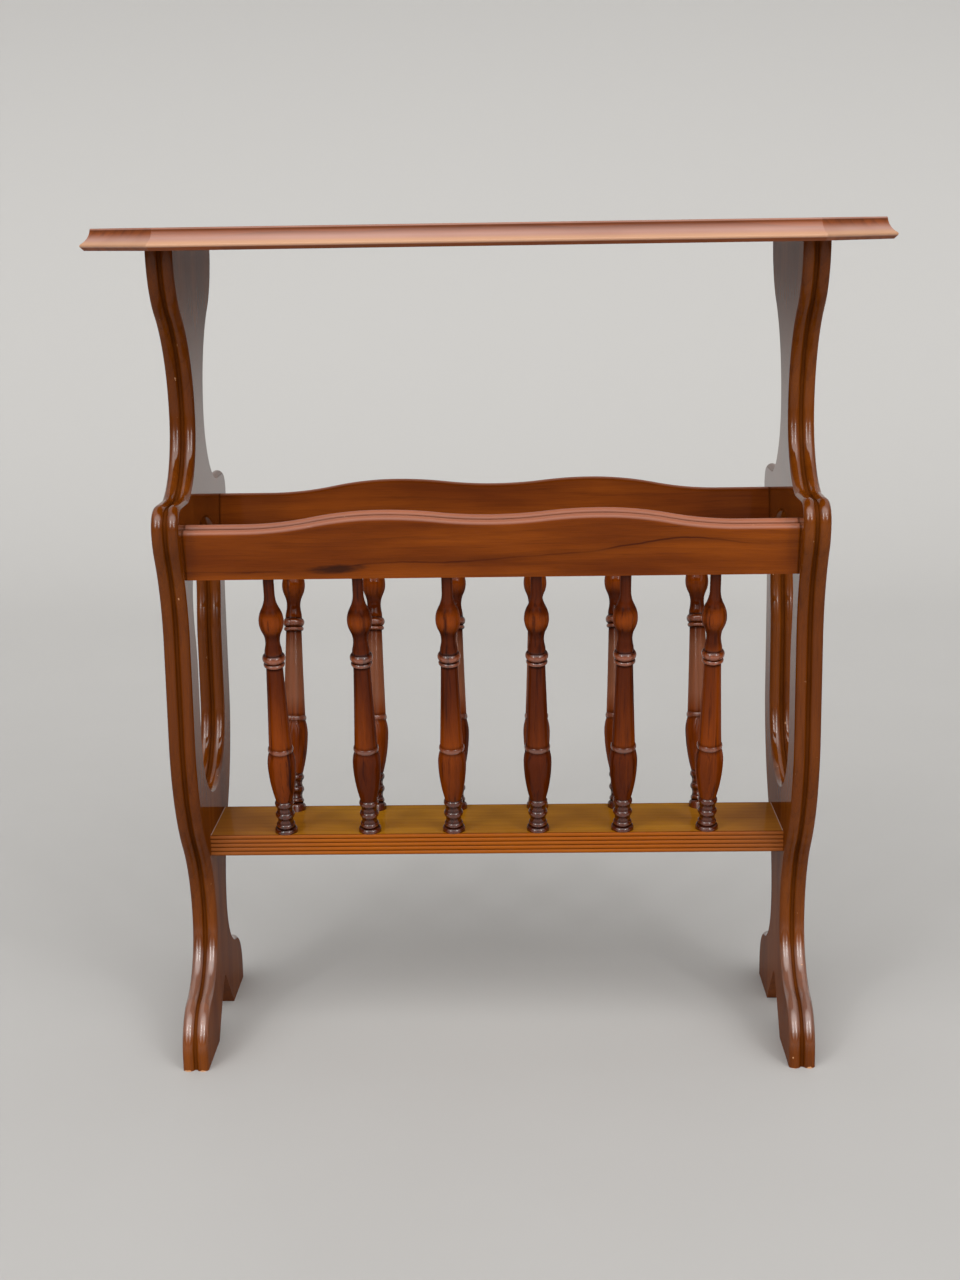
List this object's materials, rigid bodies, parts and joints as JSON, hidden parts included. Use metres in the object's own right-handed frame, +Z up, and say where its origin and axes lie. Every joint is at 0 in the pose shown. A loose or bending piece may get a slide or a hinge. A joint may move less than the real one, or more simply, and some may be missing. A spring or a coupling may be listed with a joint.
{
  "type": "magazine table with rack",
  "caption": "Small side table on two scroll-cut end panels, with a canted-corner moulded top and a magazine rack of turned spindles and leaning rails over a narrow shelf.",
  "frame": {"origin": "middle of the footprint, on the floor", "axes": "+X along the length to the right end panel, +Y from front to back, +Z up"},
  "size_m": [0.564, 0.244, 0.613],
  "materials": {
    "top_veneer": "glossy lacquer",
    "panel_wood": "glossy lacquer",
    "rail_wood": "glossy lacquer",
    "shelf_wood": "glossy lacquer",
    "turned_wood": "glossy lacquer",
    "dowel_wood": "bare"
  },
  "bodies": {
    "root": {"back_rail": "rail_wood", "back_spindle_1": "turned_wood", "back_spindle_2": "turned_wood", "back_spindle_3": "turned_wood", "back_spindle_4": "turned_wood", "back_spindle_5": "turned_wood", "back_spindle_6": "turned_wood", "bottom_shelf": "shelf_wood", "front_rail": "rail_wood", "front_spindle_1": "turned_wood", "front_spindle_2": "turned_wood", "front_spindle_3": "turned_wood", "front_spindle_4": "turned_wood", "front_spindle_5": "turned_wood", "front_spindle_6": "turned_wood", "left_end_panel": "panel_wood", "rail_dowels": "dowel_wood", "right_end_panel": "panel_wood", "shelf_dowels": "dowel_wood", "table_top": "top_veneer", "top_dowels": "dowel_wood"}
  },
  "joints": []
}
